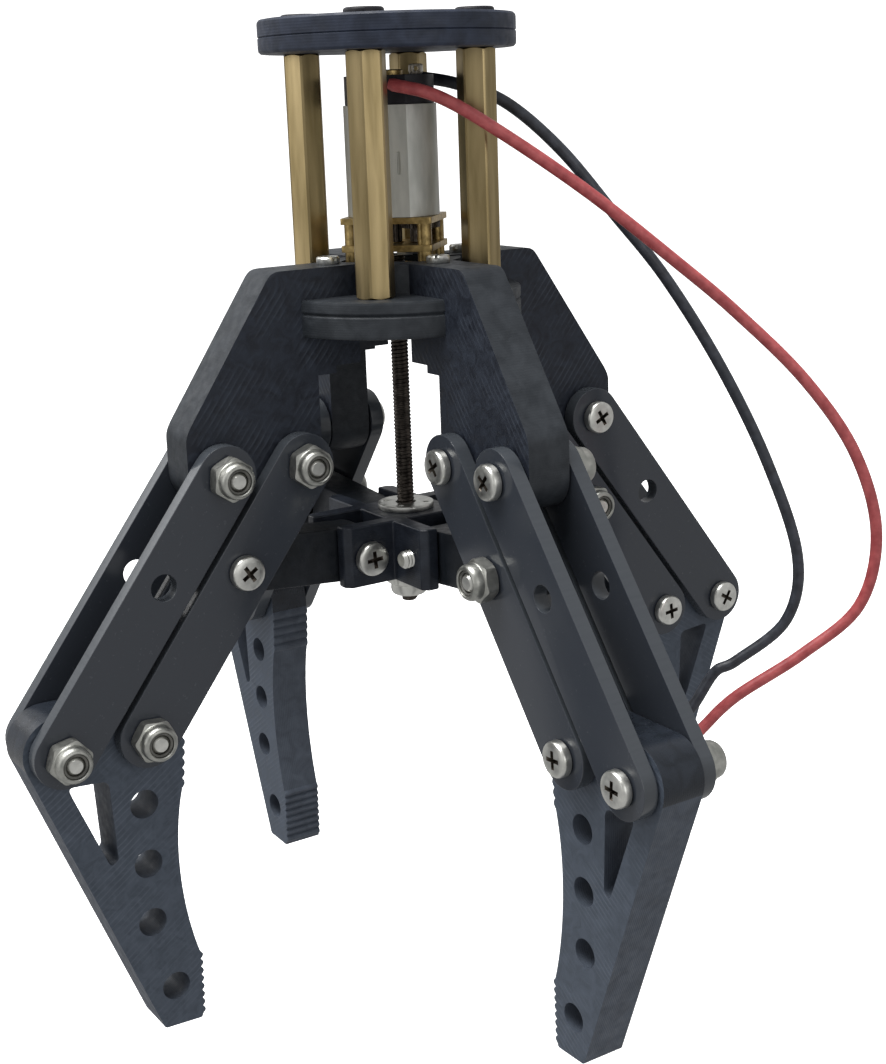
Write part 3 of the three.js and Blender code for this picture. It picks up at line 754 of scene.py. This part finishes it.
def top_plate():
    radius = PLATE_HIGH.x
    low, high = PLATE_LOW.z, PLATE_HIGH.z
    seam = (low + high) / 2 - 0.1
    edge = 0.3
    disc = ringed([
        (0, low), (radius - 2 * edge, low), (radius - edge, low + 0.04), (radius - 0.05, low + edge),
        (radius, low + 2 * edge), (radius, seam - 0.12), (radius - 0.14, seam), (radius, seam + 0.12),
        (radius, high - 2 * edge), (radius - 0.05, high - edge), (radius - edge, high - 0.04),
        (radius - 2 * edge, high), (0, high),
    ], 120)
    holes = [moved(bar(1.6, (low - 1, high + 1), STANDOFF_CIRCLE), turn=angle) for angle in CORNERS]
    mesh = to_mesh(carved(disc, holes), "top_disc", [PLATE_PRINT])
    place("top_plate_print", mesh, "base", stands_for=["top_plate"])
    screw = phillips_bolt(tip=8, radius=2.5, rise=0.7, shank=1.15)
    mesh = to_mesh(screw, "plate_screw", [CAP_PLASTIC, CAP_PLASTIC])
    for number, angle in enumerate(CORNERS, 1):
        spin = Matrix.Rotation(math.radians(angle), 4, "Z")
        place(f"plate_screw_{number}", mesh, "base",
              spin @ Matrix.Translation((STANDOFF_CIRCLE * MM, 0, (high + 0.02) * MM)))


def standoffs():
    """Hexagonal brass pillars with turned ends."""
    length = STANDOFF_HIGH.z - STANDOFF_LOW.z
    inner = STANDOFF_FLATS / 2 * 0.96
    limit = STANDOFF_FLATS / 2 / math.cos(TURN / 12) - 0.08
    bore, slope = 1.2, 0.7
    bm = ringed([
        (bore, 0), (inner, 0), hex_ring(STANDOFF_FLATS, limit, inner, 0, slope),
        hex_ring(STANDOFF_FLATS, limit, inner, length, -slope), (inner, length), (bore, length),
    ], 96)
    mesh = to_mesh(bm, "standoff", [BRASS], 20)
    for number, (angle, spin) in enumerate(zip(CORNERS, STANDOFF_TURNS), 1):
        node = f"standoff_{number}"
        out = Matrix.Rotation(math.radians(angle), 4, "Z")
        shift = Matrix.Translation((STANDOFF_CIRCLE * MM, 0, STANDOFF_LOW.z * MM))
        tightened = Matrix.Rotation(math.radians(spin - angle), 4, "Z")
        place(node + "_brass", mesh, "base", out @ shift @ tightened, [node])


def wing_outline():
    """One wing from the screw's axis outwards: flat top, sloping shoulder, pivot end and stepped arch."""
    end_radius, inner_end = 4.2, 3.7
    ring_bottom = RING_TOP - RING_THICKNESS
    arch, step = -43.9, -42.9
    outer, inner = FRAME_OUTER, FRAME_INNER
    points = [(0, WING_TOP)]
    points += bezier(
        (18.6, WING_TOP), (19.9, WING_TOP), (20.3, WING_TOP - 0.4), (20.9, WING_TOP - 1.3), 8)
    points += bezier((32.2, -48.1), (32.8, -49.1), (33.0, -49.4), (outer.x + end_radius, -50.6), 6)
    points += arc(outer.x, outer.y, end_radius, 0, -90, 12)
    points += arc(inner.x, outer.y - end_radius + inner_end, inner_end, -90, -180, 12)
    points += [(inner.x - inner_end, arch), (11.4, arch), (11.4, step), (7.8, step)]
    points += [(7.8, ring_bottom + 1), (0, ring_bottom + 1)]
    return points


def frame_print():
    """Ring, hub and four wings in one print, with the gearbox pocket and the screw's bore."""
    bottom = RING_TOP - RING_THICKNESS
    radius = 16.3
    seam = RING_TOP - 1.7
    ring = ringed([
        (0, bottom), (radius - 0.5, bottom), (radius - 0.12, bottom + 0.12), (radius, bottom + 0.5),
        (radius, seam - 0.3), (radius - 0.3, seam), (radius, seam + 0.3),
        (radius, RING_TOP - 0.4), (radius - 0.1, RING_TOP - 0.1), (radius - 0.4, RING_TOP), (0, RING_TOP),
    ], 120)
    hub = bar(8.5, (RING_TOP - 1, WING_TOP - 0.15), segments=64)
    wings = []
    for angle in AZIMUTHS.values():
        eyes = [circle(at.x, at.y, BOLT_RADIUS + 0.1) for at in (FRAME_OUTER, FRAME_INNER)]
        wings.append(moved(slab(wing_outline(), eyes, (-WING_HALF, WING_HALF), 0.28), turn=angle))
    whole = carved(ring, [hub, *wings], "UNION")
    gap = 0.3
    pocket = brick((-6 - gap, 6 + gap), (-5 - gap, 5 + gap), (GEARBOX_LOW.z - 0.1, WING_TOP + 1))
    bore = bar(3.4, (bottom - 6, RING_TOP + 2), segments=48)
    bm = carved(whole, [moved(pocket, turn=-45), bore])
    bm.normal_update()
    for face in bm.faces:
        centre = face.calc_center_median()
        distance = math.hypot(centre.x, centre.y)
        tangent = Vector((-centre.y, centre.x, 0)).normalized()
        on_wing = distance > 8 and abs(face.normal.z) < 0.3 and abs(face.normal.dot(tangent)) > 0.8
        face.material_index = 0 if on_wing else 1
    mesh = to_mesh(bm, "frame_print", [FRAME_FACE, FRAME_EDGE])
    place("frame_print", mesh, "base", stands_for=["frame"])


def root_screws():
    """Small cheese-head screws in the roots of the wings."""
    head = ringed([
        (0, -2.5), (0.8, -2.5), (0.8, 0), (1.45, 0), (1.5, 0.1), (1.5, 0.75), (1.35, 0.95), (0, 1.0),
    ], 32)
    slot = brick((-2, 2), (-0.2, 0.2), (0.5, 2))
    bm = carved(head, [slot])
    mesh = to_mesh(bm, "root_screw", [PLATED])
    for number, (side, angle) in enumerate(AZIMUTHS.items(), 1):
        turn = Matrix.Rotation(math.radians(angle), 4, "Z")
        spin = Matrix.Rotation(0.6 * number, 4, "Z")
        place(f"{side}_root_screw", mesh, "base",
              turn @ Matrix.Translation((10.2 * MM, 0, (WING_TOP + 0.02) * MM)) @ spin)


def flat_sided(radius, half, steps=14):
    """A circle with two flats, each so far from its middle."""
    corner = math.degrees(math.asin(half / radius))
    right = arc(0, 0, radius, -corner, corner, steps)
    return right + arc(0, 0, radius, 180 - corner, 180 + corner, steps)


MOTOR_TURN = Matrix.Rotation(math.radians(-45), 4, "Z")


def motor():
    """Flat-sided can with pressed grooves, a moulded end cap, its bearing and its two terminals."""
    radius, half = 6, 5
    can_bottom, can_top, cap_top = GEARBOX_HIGH.z + 0.02, -10.8, -7.2
    groove_top, dimple_z = -16.8, -21.8
    seat = cap_top + 0.02
    can = slab(flat_sided(radius, half), [], (can_bottom, can_top), 0.45, 4, upright=True)
    groove = [(z, -x) for x, z in round_bar(2.4, 0.22)]
    dents = []
    for side in (-1, 1):
        for across in (-2.1, 2.1):
            dents.append(moved(slab(groove, [], (-0.3, 0.3), 0), across, side * half, groove_top))
        dimple = along_y(bar(0.45, (-0.2, 0.2), segments=20))
        dents.append(moved(dimple, y=side * half, z=dimple_z))
    mesh = to_mesh(carved(can, dents), "motor_can", [CAN])
    place("motor_can", mesh, "base", MOTOR_TURN, ["motor"])
    cap_outline = flat_sided(radius - 0.25, half - 0.25)
    cap = slab(cap_outline, [], (can_top + 0.02, cap_top), 0.5, 4, upright=True)
    place("motor_cap", to_mesh(cap, "motor_cap", [CAP_PLASTIC]), "base", MOTOR_TURN)
    bearing = ringed([
        (0, seat), (1.8, seat), (1.8, -6.65), (1.6, -6.5), (0.6, -6.5), (0.5, -6.8), (0, -6.8),
    ], 32)
    mesh = to_mesh(bearing, "motor_bearing", [GEAR_BRASS])
    place("motor_bearing", mesh, "base", MOTOR_TURN)
    tab = rounded_outline([(-0.9, seat), (0.9, seat), (0.9, -5.9), (-0.9, -5.9)], 0.35)
    for number, side in enumerate((-1, 1), 1):
        blade = moved(slab(tab, [circle(0, -6.5, 0.32, 16)], (-0.25, 0.25), 0.05), x=side * 3.6)
        mesh = to_mesh(blade, "terminal", [TINNED])
        place(f"motor_terminal_{number}", mesh, "base", MOTOR_TURN)


def gear(teeth, radius, span, bore=0.0):
    """A spur gear on z; each tooth is a rounded trapezoid."""
    outline = []
    for tooth in range(teeth):
        for share, height in ((0.0, -1), (0.22, -1), (0.34, 1), (0.56, 1), (0.72, -1)):
            angle = TURN * (tooth + share) / teeth
            reach = radius + height * 0.75 * radius / teeth
            outline.append((reach * math.cos(angle), reach * math.sin(angle)))
    holes = [circle(0, 0, bore, 20)] if bore else []
    return slab(outline, holes, span, 0.03, 1, upright=True)


def gearbox():
    """Three brass plates on four pillars, with the gear train between them."""
    top, bottom = GEARBOX_HIGH.z, GEARBOX_LOW.z
    middle_top = top - 3.5
    thick = 0.8
    plate = rounded_outline([(-6, -5), (6, -5), (6, 5), (-6, 5)], 0.35)
    bore = circle(0, 0, 1.45, 24)
    spans = {
        "top": (top - thick, top),
        "middle": (middle_top - thick, middle_top),
        "bottom": (bottom, bottom + thick),
    }
    for name, span in spans.items():
        holes = [] if name == "top" else [bore]
        mesh = to_mesh(slab(plate, holes, span, 0.08, upright=True), f"gearbox_{name}", [GEAR_BRASS])
        replaced = ["gearbox"] if name == "top" else []
        place(f"gearbox_plate_{name}", mesh, "base", MOTOR_TURN, replaced)
    storeys = [(bottom + thick, middle_top - thick), (middle_top, top - thick)]
    pillar = joined(*[bar(0.95, (low + 0.01, high - 0.01), segments=20) for low, high in storeys])
    mesh = to_mesh(pillar, "gearbox_pillar", [GEAR_BRASS])
    for number, (x, y) in enumerate(((-4.8, 3.8), (4.8, 3.8), (-4.8, -3.8), (4.8, -3.8)), 1):
        place(f"gearbox_pillar_{number}", mesh, "base",
              MOTOR_TURN @ Matrix.Translation((x * MM, y * MM, 0)))
    floor, ceiling = middle_top + 0.1, top - thick - 0.1
    deck = bottom + thick
    train = [
        ("input_pinion", 10, 0.9, 0.0, (floor, ceiling), 0.0, DARK_STEEL_AND_SHADE),
        # The first wheel takes the dark finish instead of brass: painted shade under the gearbox's top
        # plate.
        ("first_wheel", 30, 2.5, 3.5, (ceiling - 0.7, ceiling), 0.0, DARK_STEEL_AND_SHADE),
        ("first_pinion", 11, 1.35, 3.5, (floor, ceiling - 0.75), 0.0, DARK_STEEL_AND_SHADE),
        ("second_wheel", 30, 2.6, -3.0, (floor, floor + 0.7), 0.0, GEAR_BRASS),
        ("second_pinion", 11, 0.95, -3.0, (floor + 0.75, ceiling), 0.0, DARK_STEEL_AND_SHADE),
        ("output_wheel", 34, 3.6, 0.0, (deck + 0.4, deck + 1.9), 1.45, GEAR_BRASS),
    ]
    for name, teeth, radius, x, span, bore_radius, finish in train:
        mesh = to_mesh(moved(gear(teeth, radius, span, bore_radius), x), name, [finish], 20)
        place(f"gearbox_{name}", mesh, "base", MOTOR_TURN)


def lead_screw():
    """A true helical thread from the gearbox down to the tip, with the lock nut near its foot."""
    pitch, depth, around, rows_per_turn = 0.5, 0.16, 28, 6
    radius = 1.2
    low, high = SCREW_LOW.z, SCREW_HIGH.z
    rows = int((high - low) / pitch * rows_per_turn)
    rings = [(0, low), (radius - 0.45, low)]

    def thread(z):
        def at(angle):
            phase = (z / pitch - angle / TURN) % 1
            groove = abs(2 * phase - 1)
            near_end = min(1, (z - low) / 0.5)
            return (radius - depth * groove) * (0.8 + 0.2 * near_end), z
        return at

    for row in range(1, rows):
        rings.append(thread(low + (high - low) * row / rows))
    rings += [(radius - 0.3, high), (0, high)]
    mesh = to_mesh(ringed(rings, around), "lead_screw", [DARK_STEEL_AND_SHADE], 60)
    place("lead_screw_thread", mesh, "lead_screw", stands_for=["lead_screw"])
    nut_top = SPIDER_LOW.z - 0.5
    nut = lock_nut(flats=5.5, hex_height=1.9, wall=2.5, collar=1.6, bore=radius + 0.05)
    bmesh.ops.rotate(nut, verts=nut.verts, matrix=Matrix.Rotation(math.pi, 3, "X"))
    mesh = to_mesh(moved(nut, z=nut_top), "foot_nut", [PLATED, CREAM])
    place("foot_lock_nut", mesh, "lead_screw")


def spider_outline():
    half, reach, chamfer, slot, slot_start = SPIDER_HALF, SPIDER_HIGH.x, 0.8, 3.1, 5.3
    arm = [
        (half, -half), (reach - chamfer, -half), (reach, -half + chamfer), (reach, -slot),
        (slot_start, -slot), (slot_start, slot),
        (reach, slot), (reach, half - chamfer), (reach - chamfer, half),
    ]
    points = []
    for quarter in range(4):
        turn = Matrix.Rotation(quarter * TURN / 4, 2)
        points += [tuple(turn @ Vector(p)) for p in arm]
    return points


def spider():
    body = slab(spider_outline(), [circle(0, 0, 1.6)], (SPIDER_LOW.z, SPIDER_TOP), 0.25, 3, upright=True)
    bores = []
    for angle in AZIMUTHS.values():
        drill = along_y(bar(BOLT_RADIUS + 0.1, (-7, 7)))
        bores.append(moved(moved(drill, x=SPIDER_PIN.x, z=SPIDER_PIN.y), turn=angle))
    mesh = to_mesh(carved(body, bores), "spider", [SPIDER_PRINT])
    place("spider_print", mesh, "spider", stands_for=["spider"])
    holes = [circle(x, y, 0.38, 14) for x, y in circle(0, 0, 2.75, 8)[1::2]]
    span = (SPIDER_TOP + 0.01, SPIDER_HIGH.z)
    flange = slab(circle(0, 0, 3.8, 56), [circle(0, 0, 1.35), *holes], span, 0.12, upright=True)
    place("spider_nut_flange", to_mesh(flange, "spider_nut", [PLATED]), "spider")


# ---- wires --------------------------------------------------------------------------------------

def smooth_path(points, steps=10):
    """A Catmull-Rom curve through the points."""
    knots = [Vector(p) for p in points]
    knots = [2 * knots[0] - knots[1], *knots, 2 * knots[-1] - knots[-2]]
    path = []
    for a, b, c, d in zip(knots, knots[1:], knots[2:], knots[3:]):
        for i in range(steps):
            t = i / steps
            path.append(0.5 * (2 * b + (c - a) * t + (2 * a - 5 * b + 4 * c - d) * t * t
                               + (3 * b - 3 * c + d - a) * t**3))
    return path + [knots[-2]]


def tube(path, radius, segments=20):
    """A round closed tube along a path, its ends slightly rounded."""
    bm = bmesh.new()
    side = None
    rows = []
    last = len(path) - 1
    for i, point in enumerate(path):
        ahead = (path[min(i + 1, last)] - path[max(i - 1, 0)]).normalized()
        side = ahead.orthogonal() if side is None else side - ahead * side.dot(ahead)
        side.normalize()
        other = ahead.cross(side)
        reach = radius * (0.82 if i in (0, last) else 1.0)
        rows.append([bm.verts.new(point + (side * math.cos(a) + other * math.sin(a)) * reach)
                     for a in (TURN * k / segments for k in range(segments))])
    for low, high in zip(rows, rows[1:]):
        for k in range(segments):
            bm.faces.new((low[k - 1], low[k], high[k], high[k - 1]))
    bm.faces.new(rows[0])
    bm.faces.new(rows[-1])
    return bm


def wires():
    """The two motor leads, each with a short tinned end."""
    turn = Matrix.Rotation(math.radians(-31.4), 4, "Z")
    runs = {
        "red_wire": (RED_SLEEVE, "red_insulation", [
            (0, -6.6, -8.3), (6, -8, -10), (13.4, -8, -14.4), (24.7, -7, -22.4), (36, -6, -31.6),
            (44.1, -5, -38.6), (53.3, -5, -47.9), (60.2, -5, -58), (63.4, -5, -69.1), (61.4, -5, -79.2),
            (53.7, -5, -85.9), (44.6, -5, -91.7), (40.1, -5, -96), (37.4, -5, -99),
        ]),
        "black_wire": (BLACK_SLEEVE, "black_insulation", [
            (3.4, 6.4, -7.4), (8.8, 4.6, -8.5), (15.2, 4, -11.1), (22.2, 3, -17.3), (29.2, 3, -25.9),
            (36.1, 3, -34.7), (43.7, 3, -47.1), (50.3, 3, -60.8), (54.7, 3, -74.3), (53.3, 3, -83.5),
            (46.3, 3, -89.3), (43.2, 3, -90.9), (40.4, 3, -95.4), (38, 3, -98.6),
        ]),
    }
    for node, (finish, slot_name, points) in runs.items():
        path = smooth_path(points)
        mesh = to_mesh(tube(path, WIRE_RADIUS), node, [finish], 60)
        place(node + "_sleeve", mesh, "base", turn, [node])
        ahead = (path[-1] - path[-2]).normalized()
        tip = [path[-1] + ahead * d for d in (-0.2, 0.6, 1.4, 2.2)]
        mesh = to_mesh(tube(tip, WIRE_RADIUS * 0.5, 12), node + "_end", [TINNED], 60)
        place(node + "_tinned_end", mesh, "base", turn)


# ---- stage, light and camera --------------------------------------------------------------------

def studio_paint():
    """White to the camera and dimmer in the gripper's reflections, so that its blacks stay deep."""
    n = Nodes("studio_white")
    n.shader.inputs["Base Color"].default_value = (0.9, 0.9, 0.9, 1)
    n.shader.inputs["Roughness"].default_value = 0.9
    n.shader.inputs["Emission Color"].default_value = (1, 1, 1, 1)
    n.shader.inputs["Emission Strength"].default_value = 0.75
    glow = n.tree.nodes.new("ShaderNodeEmission")
    glow.inputs["Strength"].default_value = 0.5
    ray = n.tree.nodes.new("ShaderNodeLightPath")
    choice = n.tree.nodes.new("ShaderNodeMixShader")
    n.put(ray.outputs["Is Camera Ray"], choice.inputs[0])
    n.put(glow.outputs[0], choice.inputs[1])
    n.put(n.shader.outputs[0], choice.inputs[2])
    n.put(choice.outputs[0], n.tree.nodes["Material Output"].inputs["Surface"])
    return n.material


def stage():
    """A pale floor that sweeps up into a wall all round, so that every view has the same backdrop."""
    floor_z = cad_box[0].z / MM - 12  # the claws swing 8 mm lower as they close
    flat, sweep, wall = 900, 500, 1400
    profile = [(0, floor_z), (flat * 0.5, floor_z), (flat, floor_z)]
    for i in range(1, 13):
        angle = math.radians(90 * i / 12)
        profile.append((flat + sweep * math.sin(angle), floor_z + sweep * (1 - math.cos(angle))))
    profile.append((flat + sweep, floor_z + wall))
    mesh = to_mesh(ringed(profile, 96), "studio_floor", [studio_paint()], 60)
    if mesh.polygons[0].normal.z < 0:
        mesh.flip_normals()
    obj = bpy.data.objects.new("studio_floor", mesh)
    bpy.context.scene.collection.objects.link(obj)


def area_light(name, place_mm, aim_mm, size_mm, power):
    data = bpy.data.lights.new(name, "AREA")
    data.shape = "DISK"
    data.size = size_mm * MM
    data.energy = power
    obj = bpy.data.objects.new(name, data)
    obj.location = Vector(place_mm) * MM
    obj.rotation_euler = (Vector(aim_mm) - Vector(place_mm)).to_track_quat("-Z", "Y").to_euler()
    bpy.context.scene.collection.objects.link(obj)


def lights():
    world = bpy.data.worlds.new("studio_world")
    world.use_nodes = True
    background = world.node_tree.nodes["Background"]
    background.inputs["Color"].default_value = (1, 1, 1, 1)
    background.inputs["Strength"].default_value = 0.5
    bpy.context.scene.world = world
    aim = (0, 0, -60)
    area_light("overhead", (-200, 60, 650), aim, 600, 8.0)
    area_light("left", (-720, 30, 120), aim, 500, 0.6)
    area_light("front", (30, -740, 120), aim, 500, 0.6)
    area_light("rear", (-330, 600, 300), aim, 350, 0.6)


def camera():
    """31 degrees to the left of the front, level with the top plate, looking down a little."""
    spin = math.radians(-31.41)
    yaw, pitch, roll = math.radians(1.284), math.radians(-14.861), math.radians(-1.996)
    ahead = Vector((math.sin(yaw) * math.cos(pitch), math.cos(yaw) * math.cos(pitch), math.sin(pitch)))
    level = Vector((math.cos(yaw), -math.sin(yaw), 0))
    up = level.cross(ahead)
    right = level * math.cos(roll) + up * math.sin(roll)
    top = up * math.cos(roll) - level * math.sin(roll)
    turn = Matrix.Rotation(spin, 3, "Z")
    axes = Matrix([turn @ right, turn @ top, turn @ -ahead]).transposed()
    data = bpy.data.cameras.new("camera")
    data.sensor_width = 36
    data.lens = 56.2
    data.clip_start, data.clip_end = 0.01, 20
    obj = bpy.data.objects.new("camera", data)
    obj.matrix_world = Matrix.Translation(turn @ Vector((0, -220.14, -9.38)) * MM) @ axes.to_4x4()
    bpy.context.scene.collection.objects.link(obj)
    bpy.context.scene.camera = obj


for build in (top_plate, standoffs, frame_print, root_screws, motor, gearbox, lead_screw, spider,
              links, drive_links, claws, fasteners, wires, stage, lights, camera):
    build()
bpy.context.scene.view_settings.view_transform = "Standard"
